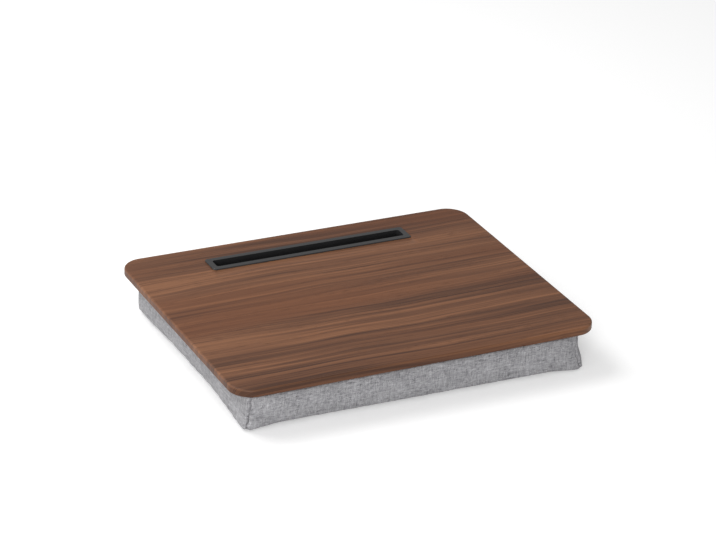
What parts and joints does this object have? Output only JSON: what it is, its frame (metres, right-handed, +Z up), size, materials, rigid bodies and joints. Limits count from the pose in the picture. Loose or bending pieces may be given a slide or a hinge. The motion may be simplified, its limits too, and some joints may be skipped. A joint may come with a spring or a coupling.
{
  "type": "cushioned lap desk",
  "caption": "Flat wood-finish desk board with a device slot along its back edge, held on a zipped foam cushion that rests on the lap.",
  "frame": {"origin": "on the surface that the cushion rests on, under the middle of the board", "axes": "+X to the user's right along the board's long side, +Y away from the user towards the device slot, +Z up through the board"},
  "size_m": [0.445, 0.343, 0.0562],
  "materials": {
    "fibreboard": "matte",
    "walnut_foil": "satin",
    "backing_sheet": "matte",
    "insert_plastic": "satin",
    "hook_tape": "matte",
    "loop_tape": "matte",
    "cover_fabric": "matte",
    "foam": "matte",
    "zip_tape": "matte",
    "zip_teeth": "satin",
    "zip_metal": "satin"
  },
  "bodies": {
    "desk": {"board_core": "fibreboard", "walnut_foil": "walnut_foil", "backing_sheet": "backing_sheet", "slot_insert": "insert_plastic", "hook_strip_front_left": "hook_tape", "hook_strip_front_right": "hook_tape", "hook_strip_back_left": "hook_tape", "hook_strip_back_right": "hook_tape", "loop_strip_front_left": "loop_tape", "loop_strip_front_right": "loop_tape", "loop_strip_back_left": "loop_tape", "loop_strip_back_right": "loop_tape", "top_panel": "cover_fabric", "bottom_panel": "cover_fabric", "front_boxing": "cover_fabric", "left_boxing": "cover_fabric", "right_boxing": "cover_fabric", "back_boxing_upper": "cover_fabric", "back_boxing_lower": "cover_fabric", "foam_slab": "foam", "zip_tape_upper": "zip_tape", "zip_tape_lower": "zip_tape", "zip_teeth_upper": "zip_teeth", "zip_teeth_lower": "zip_teeth", "zip_stops": "zip_metal"},
    "slider": {"zip_slider": "zip_metal"},
    "pull": {"zip_pull": "zip_metal"}
  },
  "joints": [
    {"name": "zip_slide", "type": "slide", "parent": "desk", "child": "slider", "axis": [-1, 0, 0], "range_m": [0, 0.2878]},
    {"name": "pull_swing", "type": "hinge", "parent": "slider", "child": "pull", "pos_m": [0.1439, 0.1522, 0.02485], "axis": [1, 0, 0], "range_deg": [-5, 140]}
  ]
}
